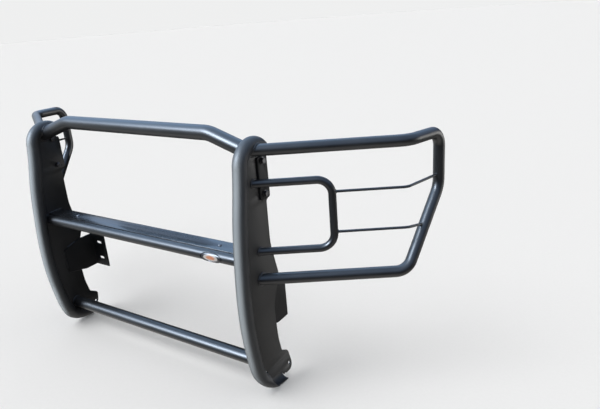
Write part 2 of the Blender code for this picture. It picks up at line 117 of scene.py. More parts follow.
STEP_T, STEP_Y0, STEP_Y1, STEP_FOLD = 0.0030, 0.0005, 0.0640, 0.0200
STEP_TOP = MIDDLE_Z + MIDDLE_R + GAP + STEP_T
SCREW_X, SCREW_Y = 0.3500, 0.0300
SCREW_R, SCREW_HOLE_R, SCREW_HEAD_R, SCREW_HEAD_H, SCREW_L = 0.0030, 0.0034, 0.0058, 0.0032, 0.0120

BADGE_X, BADGE_HALF, BEZEL_HALF = 0.3490, (0.0390, 0.0150), (0.0430, 0.0178)
BADGE_T, BEZEL_T = 0.0018, 0.0028

WING_R, WING_WALL = 0.0180, 0.0025
WING_CORNERS = [
    (UPRIGHT_X, 0.0540, 0.7220), (0.8820, 0.2905, 0.7220), (0.9160, 0.4510, 0.7145),
    (0.9160, 0.4510, 0.5390), (0.8820, 0.2700, 0.3155), (UPRIGHT_X, 0.0326, 0.3155),
]
WING_BENDS = [0.0750, 0.0480, 0.0800, 0.0560]
SWEEP = math.tan(math.radians(31))
INNER_R, INNER_WALL, INNER_BEND = 0.0120, 0.0020, 0.0460
INNER_Y, INNER_X, INNER_TOP, INNER_BOTTOM = 0.0390, 0.6930, 0.6250, 0.4070
ROD_R, ROD_BEND, ROD_CORNER_X = 0.0042, 0.0300, 0.8830
ROD_ENDS = {"upper": (0.5860, (0.9160, 0.4510, 0.5780)), "lower": (0.4580, (0.9007, 0.3696, 0.4385))}

TAB_T, TAB_Y, TAB_Z, TAB_CORNER = 0.0060, (0.0660, 0.1130), (0.5650, 0.6980), 0.0080
BOLT_Y, BOLT_Z = 0.0880, {"lower": 0.5830, "upper": 0.6850}
BOLT_R, BOLT_HOLE_R, BOLT_AF, BOLT_HEAD, BOLT_L = 0.0050, 0.0055, 0.0170, 0.0064, 0.0235
WASHER_R, WASHER_HOLE_R, WASHER_T = 0.0105, 0.0054, 0.0020
NUT_AF, NUT_H = 0.0170, 0.0084

BRACKET_T, BRACKET_FLANGE = 0.0060, 0.0800
BRACKET_Y, BRACKET_Z, BRACKET_NOSE = (0.0300, 0.1700), (0.1200, 0.2600), 0.0260
SLOT_FROM_EDGE, SLOT_HALF, SLOT_R, SLOT_Z = 0.0360, 0.0090, 0.0065, (0.1550, 0.2250)

SIDES = {"left": -1.0, "right": 1.0}


# ----------------------------------------------------------------- materials


class Net:
    """A small helper that builds one material's nodes."""

    def __init__(self, name):
        self.material = bpy.data.materials.new(name)
        self.material.use_nodes = True
        self.nodes = self.material.node_tree.nodes
        self.links = self.material.node_tree.links
        self.shader = self.nodes["Principled BSDF"]
        self.where = self.node("ShaderNodeTexCoord").outputs["Object"]

    def node(self, kind, **settings):
        made = self.nodes.new(kind)
        for key, value in settings.items():
            setattr(made, key, value)
        return made

    def put(self, node, **values):
        for key, value in values.items():
            socket = node.inputs[key.replace("_", " ")]
            if isinstance(value, bpy.types.NodeSocket):
                self.links.new(value, socket)
            else:
                socket.default_value = value
        return node

    def noise(self, scale, detail=3.0, roughness=0.5, stretch=None, distortion=0.0):
        where = self.where
        if stretch:
            mapping = self.node("ShaderNodeMapping")
            self.links.new(where, mapping.inputs["Vector"])
            mapping.inputs["Scale"].default_value = stretch
            where = mapping.outputs["Vector"]
        made = self.node("ShaderNodeTexNoise")
        self.put(made, Vector=where, Scale=scale, Detail=detail, Roughness=roughness, Distortion=distortion)
        return made.outputs["Fac"]

    def cells(self, scale):
        made = self.node("ShaderNodeTexVoronoi")
        self.put(made, Vector=self.where, Scale=scale)
        return made.outputs["Distance"]

    def ramp(self, value, stops, smooth=False):
        made = self.node("ShaderNodeValToRGB")
        self.links.new(value, made.inputs["Fac"])
        band = made.color_ramp
        band.interpolation = "EASE" if smooth else "LINEAR"
        while len(band.elements) < len(stops):
            band.elements.new(0.5)
        for element, (place, colour) in zip(band.elements, stops):
            element.position = place
            element.color = (*colour, 1.0) if len(colour) == 3 else colour
        return made.outputs["Color"]

    def remap(self, value, a, b, c, d):
        made = self.node("ShaderNodeMapRange", clamp=True)
        for socket, given in zip(list(made.inputs)[1:5], (a, b, c, d)):
            socket.default_value = given
        self.links.new(value, made.inputs[0])
        return made.outputs[0]

    def math(self, operation, a, b):
        made = self.node("ShaderNodeMath", operation=operation)
        for socket, given in zip(made.inputs, (a, b)):
            if isinstance(given, bpy.types.NodeSocket):
                self.links.new(given, socket)
            else:
                socket.default_value = given
        return made.outputs[0]

    def mix(self, factor, a, b):
        made = self.node("ShaderNodeMix", data_type="RGBA")
        for socket, given in zip((made.inputs[0], made.inputs[6], made.inputs[7]), (factor, a, b)):
            if isinstance(given, bpy.types.NodeSocket):
                self.links.new(given, socket)
            else:
                socket.default_value = given if isinstance(given, float) else (*given, 1.0)
        return made.outputs[2]

    def bump(self, height, strength, distance, below=None):
        made = self.node("ShaderNodeBump")
        self.put(made, Height=height, Strength=strength, Distance=distance)
        if below is not None:
            self.links.new(below, made.inputs["Normal"])
        return made.outputs["Normal"]

    def facing_up(self):
        """0 to 1 as the surface turns from level with the horizon to face up."""
        parts = self.node("ShaderNodeSeparateXYZ")
        self.links.new(self.node("ShaderNodeNewGeometry").outputs["Normal"], parts.inputs[0])
        return self.remap(parts.outputs[2], 0.25, 0.95, 0.0, 1.0)

    def finish(self, **values):
        self.put(self.shader, **values)
        return self.material


def powder_coat(name, dark, light, rough, dust, peel=0.16, scuffs=0.0):
    """Semi-gloss black powder coat: orange peel, a fine grit in the gloss, faint dust on what faces up."""
    net = Net(name)
    patches = net.noise(9.0, 4.0, 0.55)
    grit = net.noise(620.0, 2.0, 0.6)
    colour = net.ramp(patches, [(0.30, dark), (0.72, light)])
    specks = net.remap(net.noise(240.0, 3.0, 0.7), 0.60, 0.78, 0.0, 1.0)
    film = net.math("MULTIPLY", net.facing_up(), net.remap(net.noise(26.0, 5.0, 0.65), 0.42, 0.75, 0.25, 1.0))
    film = net.math("MULTIPLY", film, net.remap(specks, 0.0, 1.0, 0.55, 1.0))
    film = net.math("MULTIPLY", film, dust)
    colour = net.mix(film, colour, (0.150, 0.142, 0.130))
    shine = net.remap(net.math("ADD", patches, net.math("MULTIPLY", grit, 0.35)), 0.45, 0.95, rough - 0.035, rough + 0.055)
    shine = net.math("ADD", shine, net.math("MULTIPLY", film, 0.9))
    if scuffs:
        streaks = net.noise(70.0, 4.0, 0.6, stretch=(0.35, 2.2, 1.0), distortion=0.6)
        worn = net.math("MULTIPLY", net.remap(streaks, 0.60, 0.70, 0.0, 1.0), net.facing_up())
        worn = net.math("MULTIPLY", worn, net.remap(net.noise(5.0, 2.0), 0.50, 0.66, 0.0, scuffs))
        colour = net.mix(worn, colour, (0.085, 0.085, 0.086))
        shine = net.math("ADD", shine, net.math("MULTIPLY", worn, 0.22))
    orange_peel = net.bump(net.noise(420.0, 1.5, 0.45), peel, 0.00035)
    normal = net.bump(grit, 0.10, 0.00012, orange_peel)
    return net.finish(Base_Color=colour, Roughness=shine, Normal=normal, IOR=1.52)


def bare_metal(name, dark, light, rough, metallic):
    """Zinc-plated or oxide-blacked steel, with a fine crystal mottle and rubbed high spots."""
    net = Net(name)
    mottle = net.noise(260.0, 4.0, 0.6)
    crystals = net.cells(900.0)
    colour = net.ramp(mottle, [(0.32, dark), (0.70, light)])
    colour = net.mix(net.remap(net.noise(60.0, 3.0), 0.58, 0.74, 0.0, 0.45), colour, (0.20, 0.17, 0.135))
    shine = net.remap(net.math("ADD", mottle, net.math("MULTIPLY", crystals, 0.5)), 0.4, 1.0, rough - 0.07, rough + 0.12)
    normal = net.bump(crystals, 0.16, 0.00010, net.bump(net.noise(180.0, 3.0), 0.20, 0.00025))
    return net.finish(Base_Color=colour, Roughness=shine, Metallic=metallic, Normal=normal)


def badge_enamel(name):
    """The blank badge: a pale field with a warm orange centre, under a clear dome."""
    net = Net(name)
    spot = net.node("ShaderNodeTexGradient", gradient_type="SPHERICAL")
    mapping = net.node("ShaderNodeMapping")
    centre = SHIFT @ Vector((BADGE_X, -MIDDLE_R, MIDDLE_Z))
    half = (BADGE_HALF[0] * 1.02, 0.05, BADGE_HALF[1] * 1.02)
    mapping.inputs["Location"].default_value = [-c / h for c, h in zip(centre, half)]
    mapping.inputs["Scale"].default_value = [1 / h for h in half]
    net.links.new(net.where, mapping.inputs["Vector"])
    net.links.new(mapping.outputs["Vector"], spot.inputs["Vector"])
    colour = net.ramp(
        spot.outputs["Fac"],
        [
            (0.0, (0.009, 0.010, 0.014)), (0.265, (0.011, 0.012, 0.016)), (0.295, (0.50, 0.49, 0.49)),
            (0.53, (0.58, 0.52, 0.48)), (0.60, (0.58, 0.27, 0.16)), (1.0, (0.60, 0.22, 0.115)),
        ],
    )
    grain = net.noise(520.0, 2.0)
    colour = net.mix(net.remap(grain, 0.35, 0.75, 0.0, 0.10), colour, (0.20, 0.16, 0.14))
    shine = net.remap(net.noise(90.0, 3.0), 0.3, 0.7, 0.22, 0.36)
    normal = net.bump(grain, 0.06, 0.0001)
    return net.finish(Base_Color=colour, Roughness=shine, Normal=normal, Coat_Weight=0.3, Coat_Roughness=0.12)


COAT = powder_coat("powder_coat_black", (0.0065, 0.0070, 0.0080), (0.0110, 0.0116, 0.0130), 0.36, 0.10)
COAT_WRAP = powder_coat("powder_coat_wrap", (0.0070, 0.0075, 0.0083), (0.0120, 0.0125, 0.0136), 0.55, 0.12)
COAT_PLATE = powder_coat("powder_coat_plate", (0.0040, 0.0040, 0.0041), (0.0075, 0.0073, 0.0072), 0.48, 0.12, 0.18)
COAT_STEP = powder_coat("powder_coat_step", (0.0065, 0.0070, 0.0080), (0.0110, 0.0116, 0.0130), 0.25, 0.04, 0.06)
COAT_WELD = powder_coat("powder_coat_weld", (0.0075, 0.0078, 0.0086), (0.0125, 0.0128, 0.0135), 0.42, 0.20, 0.18)
COAT_BRACKET = powder_coat("bracket_coat_flat", (0.0040, 0.0040, 0.0043), (0.0072, 0.0072, 0.0075), 0.54, 0.12, 0.22)
COAT_BRACKET.node_tree.nodes["Principled BSDF"].inputs["Specular IOR Level"].default_value = 0.22
ZINC = bare_metal("fastener_steel", (0.050, 0.050, 0.053), (0.130, 0.130, 0.135), 0.30, 0.92)
SCREW_STEEL = bare_metal("screw_steel", (0.09, 0.09, 0.095), (0.24, 0.24, 0.25), 0.32, 0.95)
RIM = powder_coat("badge_rim_enamel", (0.0060, 0.0070, 0.0100), (0.0110, 0.0125, 0.0160), 0.20, 0.10, 0.06)
ENAMEL = badge_enamel("badge_plain_enamel")


# ------------------------------------------------------------------ geometry


def to_object(name, bm, sharp=40.0):
    mesh = bpy.data.meshes.new(name)
    bmesh.ops.remove_doubles(bm, verts=bm.verts, dist=2e-6)
    bmesh.ops.dissolve_degenerate(bm, edges=bm.edges, dist=1e-7)
    bmesh.ops.recalc_face_normals(bm, faces=bm.faces)
    bm.to_mesh(mesh)
    bm.free()
    mesh.shade_smooth()
    mesh.set_sharp_from_angle(angle=math.radians(sharp))
    return bpy.data.objects.new(name, mesh)


def piece(obj, material, slot, *nodes):
    """Puts a finished piece on the guard, in the row frame."""
    bpy.context.scene.collection.objects.link(obj)
    obj.data.transform(SHIFT)
    obj.data.materials.clear()
    obj.data.materials.append(material)
    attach(obj, BODY)
    if nodes:
        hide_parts(*nodes)
    return obj


def applied(obj, *cutters):
    """The object's mesh with these cutters taken out of it."""
    bpy.context.scene.collection.objects.link(obj)
    for cutter in cutters:
        bpy.context.scene.collection.objects.link(cutter)
        modifier = obj.modifiers.new("cut", "BOOLEAN")
        modifier.operation, modifier.solver, modifier.object = "DIFFERENCE", "EXACT", cutter
    bpy.context.view_layer.update()
    graph = bpy.context.evaluated_depsgraph_get()
    mesh = bpy.data.meshes.new_from_object(obj.evaluated_get(graph))
    name = obj.name
    for helper in (obj, *cutters):
        bpy.data.objects.remove(helper, do_unlink=True)
    bm = bmesh.new()
    bm.from_mesh(mesh)
    bpy.data.meshes.remove(mesh)
    return to_object(name, bm)


def bend(points, radii, step=3.0):
    """The path through the points, each inner corner rounded to its radius."""
    points = [Vector(p) for p in points]
    path = [points[0]]
    for before, corner, after, radius in zip(points, points[1:], points[2:], radii):
        if not radius:
            path.append(corner)
            continue
        a = (before - corner).normalized()
        b = (after - corner).normalized()
        turn = math.pi - a.angle(b)
        reach = radius * math.tan(turn / 2)
        centre = corner + (a + b).normalized() * radius / math.cos(turn / 2)
        start, end = corner + a * reach - centre, corner + b * reach - centre
        count = max(2, round(math.degrees(turn) / step))
        for i in range(count + 1):
            t = i / count
            blend = math.sin((1 - t) * turn) * start + math.sin(t * turn) * end
            path.append(centre + blend / math.sin(turn))
    return [*path, points[-1]]


def rounded_outline(corners, step=8.0):
    looped = [corners[-1], *corners, corners[0]]
    path = bend([c[:2] + (0.0,) for c in looped], [c[2] for c in corners], step)
    return [(p.x, p.y) for p in path[1:-1]]


def ring(x, y, radius, count=48, squash=1.0):
    return [
        (x + radius * math.cos(2 * math.pi * k / count), y + radius * squash * math.sin(2 * math.pi * k / count))
        for k in range(count)
    ]


def smooth_path(points, spacing):
    """A centripetal Catmull-Rom curve through flat points."""
    points = [Vector(p) for p in points]
    ends = [2 * points[0] - points[1], *points, 2 * points[-1] - points[-2]]
    made = []
    for p0, p1, p2, p3 in zip(ends, ends[1:], ends[2:], ends[3:]):
        t0 = 0.0
        t1 = t0 + math.sqrt((p1 - p0).length)
        t2 = t1 + math.sqrt((p2 - p1).length)
        t3 = t2 + math.sqrt((p3 - p2).length)
        count = max(1, math.ceil((p2 - p1).length / spacing))
        for k in range(count):
            t = t1 + (t2 - t1) * k / count
            a1 = p0 * (t1 - t) / (t1 - t0) + p1 * (t - t0) / (t1 - t0)
            a2 = p1 * (t2 - t) / (t2 - t1) + p2 * (t - t1) / (t2 - t1)
            a3 = p2 * (t3 - t) / (t3 - t2) + p3 * (t - t2) / (t3 - t2)
            b1 = a1 * (t2 - t) / (t2 - t0) + a2 * (t - t0) / (t2 - t0)
            b2 = a2 * (t3 - t) / (t3 - t1) + a3 * (t - t1) / (t3 - t1)
            made.append(b1 * (t2 - t) / (t2 - t1) + b2 * (t - t1) / (t2 - t1))
    return [*made, points[-1]]


def frames(path):
    """(tangent, side, other side) at each point, carried along without twisting."""
    count = len(path)
    tangents = []
    for i in range(count):
        before, after = path[max(i - 1, 0)], path[min(i + 1, count - 1)]
        steps = [s.normalized() for s in (path[i] - before, after - path[i]) if s.length > 1e-9]
        tangents.append(sum(steps, Vector()).normalized())
    side = tangents[0].orthogonal().normalized()
    made = []
    for i, tangent in enumerate(tangents):
        if i:
            side = tangents[i - 1].rotation_difference(tangent) @ side
        side = (side - tangent * side.dot(tangent)).normalized()
        made.append((tangent, side, tangent.cross(side)))
    return made


def shell(path, axes, radius, sides):
    rings = []
    for place, (_, u, v) in zip(path, axes):
        turn = 2 * math.pi / sides
        rings.append([place + u * (radius * math.cos(turn * k)) + v * (radius * math.sin(turn * k)) for k in range(sides)])
    return rings


def meet(points, along, target, back):
    """Moves each end point along the tube's axis to the first surface that it meets."""
    moved = []
    for p in points:
        hit = target.ray_cast(p - along * back, along, back + 0.12)[0]
        moved.append(hit if hit is not None else p)
    return moved


def skin(bm, loops, closed=True):
    """Faces between one loop of vertices and the next."""
    rows = [[bm.verts.new(p) for p in loop] for loop in loops]
    pairs = list(zip(rows, rows[1:]))
    if closed:
        pairs.append((rows[-1], rows[0]))
    for a, b in pairs:
        for k in range(len(a)):
            n = (k + 1) % len(a)
            bm.faces.new((a[k], a[n], b[n], b[k]))
    return rows


def tube(name, path, radius, wall=0.0, sides=48, start=None, end=None, back=0.05):
    """A tube along a path. start and end are the surfaces that its ends are cut to fit. Returns it and its two seams."""
    path = [Vector(p) for p in path]
    for index, surface in ((0, start), (-1, end)):
        if surface:  # a ring clear of the cut end keeps the run behind it straight
            run = path[1 if index == 0 else -2] - path[index]
            if run.length > 2.2 * back:
                path.insert(1 if index == 0 else -1, path[index] + run.normalized() * back)
    axes = frames(path)
    seams = []
    outer = shell(path, axes, radius, sides)
    inner = shell(path, axes, radius - wall, sides) if wall else None
    for rings in filter(None, (outer, inner)):
        if start:
            rings[0] = meet(rings[0], -axes[0][0], start, back)
        if end:
            rings[-1] = meet(rings[-1], axes[-1][0], end, back)
    for target, row, index, sign in ((start, outer[0], 0, -1), (end, outer[-1], -1, 1)):
        if target:
            along = axes[index][0] * sign
            centre = path[index]
            out = [((p - centre) - along * (p - centre).dot(along)).normalized() for p in row]
            seams.append([(p, o, along) for p, o in zip(row, out)])
    bm = bmesh.new()
    if inner:
        skin(bm, [*outer, *reversed(inner)])
    else:
        rows = skin(bm, outer, False)
        for row in (rows[0], rows[-1]):
            bm.faces.new(row)
    return to_object(name, bm), seams


def plate(name, outlines, low, high, place, edge=0.0006):
    """A flat plate with rolled edges: outlines in (a, b), holes after the first, between two heights."""
    loops = []
    for number, outline in enumerate(outlines):
        points = [Vector(p) for p in outline]
        area = sum(a.x * b.y - b.x * a.y for a, b in zip(points, [*points[1:], points[0]]))
        if (area > 0) == (number > 0):
            points.reverse()
        loops.append(points)

    def inset(points, distance):
        made = []
        for i, p in enumerate(points):
            a = (p - points[i - 1]).normalized()
            b = (points[(i + 1) % len(points)] - p).normalized()
            na, nb = Vector((-a.y, a.x)), Vector((-b.y, b.x))
            way = (na + nb).normalized()
            made.append(p + way * min(distance / max(way.dot(na), 0.3), 2 * distance))
        return made

    levels = [
        (low, edge), (low + 0.29 * edge, 0.29 * edge), (low + edge, 0.0),
        (high - edge, 0.0), (high - 0.29 * edge, 0.29 * edge), (high, edge),
    ]
    bm = bmesh.new()
    caps = {0: [], len(levels) - 1: []}
    for points in loops:
        rows = []
        for level, (c, distance) in enumerate(levels):
            row = [bm.verts.new(place(p.x, p.y, c)) for p in (inset(points, distance) if distance else points)]
            rows.append(row)
            if level in caps:
                caps[level].append(row)
        for a, b in zip(rows, rows[1:]):
            for k in range(len(a)):
                n = (k + 1) % len(a)
                bm.faces.new((a[k], a[n], b[n], b[k]))
    flat_loops = [[Vector((p.x, p.y, 0.0)) for p in inset(points, edge)] for points in loops]
    triangles = tessellate_polygon(flat_loops)
    for rows in caps.values():
        verts = [v for row in rows for v in row]
        for a, b, c in triangles:
            if len({a, b, c}) == 3:
                try:
                    bm.faces.new((verts[a], verts[b], verts[c]))
                except ValueError:
                    pass
    bmesh.ops.join_triangles(bm, faces=[f for f in bm.faces if len(f.verts) == 3], angle_face_threshold=0.01, angle_shape_threshold=3.1)
    return bm


def on_yz(a, b, c):
    return Vector((c, a, b))


def lean(z):
    below = FLARE_Z - z
    if below <= -FLARE_EASE:
        return 0.0
    if below >= FLARE_EASE:
        return FLARE_SLOPE * below
    return FLARE_SLOPE * (below + FLARE_EASE) ** 2 / (4 * FLARE_EASE)


def flare(obj, sign, cut=True):
    """Leans the foot of an upright outboard."""
    bm = bmesh.new()
    bm.from_mesh(obj.data)
    if cut:
        for part in (1.0, 0.6, 0.2, -0.2, -0.6, -1.0):
            bmesh.ops.bisect_plane(
                bm, geom=[*bm.verts, *bm.edges, *bm.faces], dist=1e-6,
                plane_co=(0, 0, FLARE_Z + part * FLARE_EASE), plane_no=(0, 0, 1),
            )
    for v in bm.verts:
        v.co.x += sign * lean(v.co.z)
    bm.to_mesh(obj.data)
    bm.free()
    obj.data.shade_smooth()
    obj.data.set_sharp_from_angle(angle=math.radians(40))
    return obj


def leaned(points, sign):
    return [Vector((p.x + sign * lean(p.z), p.y, p.z)) for p in points]


def resample(rows, spacing, closed):
    """Evenly spaced rows from rows of (place, crest, reference)."""
    rows = [*rows, rows[0]] if closed else list(rows)
    lengths = [0.0]
    for a, b in zip(rows, rows[1:]):
        lengths.append(lengths[-1] + (b[0] - a[0]).length)
    total = lengths[-1]
    count = max(8, round(total / spacing))
    made, i = [], 0
    for k in range(count if closed else count + 1):
        at = total * k / count
        while i < len(lengths) - 2 and lengths[i + 1] < at:
            i += 1
        span = lengths[i + 1] - lengths[i]
        t = (at - lengths[i]) / span if span > 1e-12 else 0.0
        made.append(tuple(a.lerp(b, t) for a, b in zip(rows[i], rows[i + 1])))
    return made, total


def bead(bm, rows, closed, radius, pitch=0.0030, sides=10, depth=0.11, spacing=None):
    """A weld bead with its ripples, added to bm. rows are (place, crest direction) along the seam."""
    rows, total = resample(rows, spacing or pitch / 5, closed)
    count = len(rows)
    phase0, wobble = random.random(), random.random() * 50
    loops = []
    for i, (place, crest) in enumerate(rows):
        before = rows[i - 1][0] if closed or i else place
        after = rows[(i + 1) % count][0] if closed or i < count - 1 else place
        tangent = (after - before).normalized()
        up = (crest - tangent * crest.dot(tangent)).normalized()
        across = tangent.cross(up)
        s = total * i / (count if closed else count - 1)
        size = radius * (1 + 0.07 * math.sin(wobble + s * 97) + 0.05 * math.sin(1.7 * wobble + s * 233))
        if closed:
            join = min(s, total - s)
            size *= 1 + 0.10 * math.exp(-((join / (2.0 * pitch)) ** 2))
        else:
            near = min(s, total - s) / (1.6 * radius)
            size *= math.sqrt(max(0.0, 1 - (1 - near) ** 2)) if near < 1 else 1.0
            size = max(size, radius * 0.12)
        loop = []
        for k in range(sides):
            turn = 2 * math.pi * k / sides
            lag = s + 0.55 * radius * (1 - math.cos(turn))
            ripple = ((lag / pitch + phase0) % 1.0) ** 0.7
            reach = size * (1 - depth * ripple)
            loop.append(place + up * (reach * math.cos(turn)) + across * (reach * math.sin(turn)))
        loops.append(loop)
    rows = skin(bm, loops, closed)
    if not closed:
        bm.faces.new(rows[0])
        bm.faces.new(rows[-1])


def seam_rows(seam, radius):
    rows = []
    for place, out, along in seam:
        crest = (out - along).normalized()
        rows.append((place + crest * (radius * 0.28), crest))
    return rows


def bvh(*objects):
    """One tree over these objects' meshes, as they lie before SHIFT."""
    verts, faces = [], []
    for obj in objects:
        base = len(verts)
        verts += [v.co.copy() for v in obj.data.vertices]
        faces += [[base + i for i in p.vertices] for p in obj.data.polygons]
    return BVHTree.FromPolygons(verts, faces)


def welds(name, makers):
    """One piece that holds the beads of one joint."""
    bm = bmesh.new()
    for make in makers:
        make(bm)
    mesh = bpy.data.meshes.new(name)
    bmesh.ops.recalc_face_normals(bm, faces=bm.faces)
    bm.to_mesh(mesh)
    bm.free()
    mesh.shade_smooth()
    return piece(bpy.data.objects.new(name, mesh), COAT_WELD, "powder_coat")


def round_bead(seam, radius):
    return lambda bm: bead(bm, seam_rows(seam, radius), True, radius)


def line_bead(rows, radius, pitch=0.0034, spacing=0.0008, depth=0.09):
    return lambda bm: bead(bm, rows, False, radius, pitch, 10, depth, spacing)


def hexagon(turn, flats):
    """Half the width of a hexagon at this angle, flats apart."""
    fold = (turn + math.pi / 6) % (math.pi / 3) - math.pi / 6
    return flats / 2 / math.cos(fold)


def turned(name, loops):
    """A closed form from loops of equal length, from the bottom's centre to the top's centre."""
    bm = bmesh.new()
    rows = skin(bm, loops, False)
    bm.faces.new(rows[0])
    bm.faces.new(rows[-1])
    return to_object(name, bm, 32)


# ------------------------------------------------------------------ uprights

arc = []
steps = 42
for i in range(steps):
    angle = BEND_START + (math.pi - BEND_START) * i / steps
    arc.append(Vector(BEND_CENTRE) + Vector((math.cos(angle), math.sin(angle))) * BEND_R)
front = smooth_path(WRAP_FRONT, 0.0070)
LINE = [*arc, *front]


def beside(path, distance):
    steps = [(b - a).normalized() for a, b in zip(path, path[1:])]
    moved = []
    for i, p in enumerate(path):
        along = (steps[max(i - 1, 0)] + steps[min(i, len(steps) - 1)]).normalized()
        moved.append(Vector((p.x - along.y * distance, p.y + along.x * distance)))
    return moved


plate_front = []
for p in beside(LINE, WRAP_R + GAP / 3):
    if p[0] > FOOT_CUT[0][0] - GAP and p[1] < 0.1:
        break
    plate_front.append((p[0], p[1]))
rear = rounded_outline(PLATE_REAR)

uprights = {}
for side, sign in SIDES.items():
    outline = [*plate_front, *reversed(rear)]
    holes = [ring(*EAR_HOLE)] + [ring(BOLT_Y, z, BOLT_HOLE_R) for z in BOLT_Z.values()]
    low, high = sorted((sign * (PLATE_X - PLATE_T / 2), sign * (PLATE_X + PLATE_T / 2)))
    plate_obj = flare(to_object("guard_upright_plate_" + side, plate("p", [outline, *holes], low, high, on_yz, 0.0009)), sign)

    wrap_obj, _ = tube("guard_wrap_tube_" + side, [(sign * UPRIGHT_X, p.x, p.y) for p in LINE], WRAP_R, WRAP_WALL, 56)
    outside = UPRIGHT_X + 0.08
    low, high = sorted((sign * INNER_FACE_X, sign * outside))
    opening = to_object(
        "foot_opening_" + side,
        plate("o", [[(0.0130, 0.0100), *FOOT_CUT, (0.2000, -0.1300), (0.2000, 0.0100)]], low, high, on_yz, 0.00001),
    )
    wrap_obj = flare(applied(wrap_obj, opening), sign, False)
    uprights[side] = (plate_obj, wrap_obj, bvh(plate_obj, wrap_obj))

# --------------------------------------------------------------- cross tubes

LEFT, RIGHT = uprights["left"][2], uprights["right"][2]
drop = (TOP_Z - TOP_END_Z) / (INNER_FACE_X - TOP_BEND_X)
top_path = bend(
    [(-INNER_FACE_X, TOP_Y, TOP_END_Z), (-TOP_BEND_X, TOP_Y, TOP_Z), (TOP_BEND_X, TOP_Y, TOP_Z), (INNER_FACE_X, TOP_Y, TOP_END_Z)],
    [TOP_BEND_R, TOP_BEND_R], 1.2,
)
top, top_seams = tube("guard_top_tube", top_path, TOP_R, TOP_WALL, 56, LEFT, RIGHT)
middle, middle_seams = tube(
    "guard_middle_tube", [(-INNER_FACE_X, 0, MIDDLE_Z), (INNER_FACE_X, 0, MIDDLE_Z)], MIDDLE_R, MIDDLE_WALL, 56, LEFT, RIGHT, 0.09
)
bottom, bottom_seams = tube(
    "guard_bottom_tube", [(-INNER_FACE_X, BOTTOM_Y, 0), (INNER_FACE_X, BOTTOM_Y, 0)], BOTTOM_R, BOTTOM_WALL, 56, LEFT, RIGHT, 0.06
)

# ---------------------------------------------------------------------- step

profile = rounded_outline(
    [
        (STEP_Y0, STEP_TOP - STEP_T, 0.0006), (STEP_Y1 - STEP_T, STEP_TOP - STEP_T, 0.001),
        (STEP_Y1 - STEP_T, STEP_TOP - STEP_FOLD, 0.0006), (STEP_Y1, STEP_TOP - STEP_FOLD, 0.0006),
        (STEP_Y1, STEP_TOP, 0.0032), (STEP_Y0, STEP_TOP, 0.0012),
    ],
    12,
)
step = to_object("guard_step_plate", plate("s", [profile], -(INNER_FACE_X - GAP), INNER_FACE_X - GAP, on_yz, 0.0003))
screw_cutters = []
for side, sign in SIDES.items():
    screw_cutters.append(
        to_object(
            "screw_hole_" + side,
            plate("h", [ring(sign * SCREW_X, SCREW_Y, SCREW_HOLE_R, 32)], STEP_TOP - 0.02, STEP_TOP + 0.02,
                  lambda a, b, c: Vector((a, b, c)), 0.00001),
        )
    )
step = applied(step, *screw_cutters)

for side, sign in SIDES.items():
    place = Vector((sign * SCREW_X, SCREW_Y, STEP_TOP + GAP))
    count = 48

    def loop(radius, height, hexed=0.0):
        made = []
        for k in range(count):
            turn = 2 * math.pi * k / count
            reach = hexagon(turn, hexed) if hexed else radius
            made.append(place + Vector((reach * math.cos(turn), reach * math.sin(turn), height)))
        return made

    loops = [loop(0.0007, -SCREW_L), loop(SCREW_R - 0.0005, -SCREW_L), loop(SCREW_R, -SCREW_L + 0.0005)]
    thread = -SCREW_L + 0.0008
    while thread < -0.0035:
        loops += [loop(SCREW_R, thread), loop(SCREW_R - 0.00035, thread + 0.0004)]
        thread += 0.0008
    loops += [loop(SCREW_R, -0.0028), loop(SCREW_R, 0.0), loop(SCREW_HEAD_R - 0.0002, 0.0), loop(SCREW_HEAD_R, 0.0003)]
    for k in range(1, 9):
        t = k / 8 * math.radians(62)
        loops.append(loop(SCREW_HEAD_R * (0.42 + 0.58 * math.cos(t)), 0.0006 + (SCREW_HEAD_H - 0.0006) * math.sin(t) / math.sin(math.radians(62))))
    loops += [loop(0, SCREW_HEAD_H, 0.0043), loop(0, SCREW_HEAD_H - 0.0002, 0.0040), loop(0, SCREW_HEAD_H - 0.0017, 0.0040), loop(0.0006, SCREW_HEAD_H - 0.0019)]
    piece(turned("guard_step_screw_" + side, loops), SCREW_STEEL, "fasteners", "step_screw_" + side)

# --------------------------------------------------------------------- badge


def on_tube(rho, turn, half, height):
    """A point of an oval laid on the front of the middle tube, this far off its surface."""
    x, z = half[0] * rho * math.cos(turn), half[1] * rho * math.sin(turn)
    out = MIDDLE_R + GAP + height
    z *= out / (MIDDLE_R + GAP + BADGE_T)
    z = max(-out * 0.96, min(out * 0.96, z))
    return Vector((BADGE_X + x, -math.sqrt(out * out - z * z), MIDDLE_Z + z))


count = 96
turns = [2 * math.pi * k / count for k in range(count)]
loops = [[on_tube(r, t, BADGE_HALF, 0.0) for t in turns] for r in (0.02, 0.3, 0.6, 0.85, 0.975)]
loops += [[on_tube(0.993, t, BADGE_HALF, 0.00015) for t in turns], [on_tube(0.993, t, BADGE_HALF, BADGE_T * 0.62) for t in turns]]
for r in (0.985, 0.97, 0.94, 0.88, 0.78, 0.64, 0.48, 0.3, 0.15, 0.02):
    height = BADGE_T * (0.66 + 0.34 * math.sqrt(1 - r * r))
    loops.append([on_tube(r, t, BADGE_HALF, height) for t in turns])
piece(turned("guard_badge_face", loops), ENAMEL, "badge_plain", "badge_face")

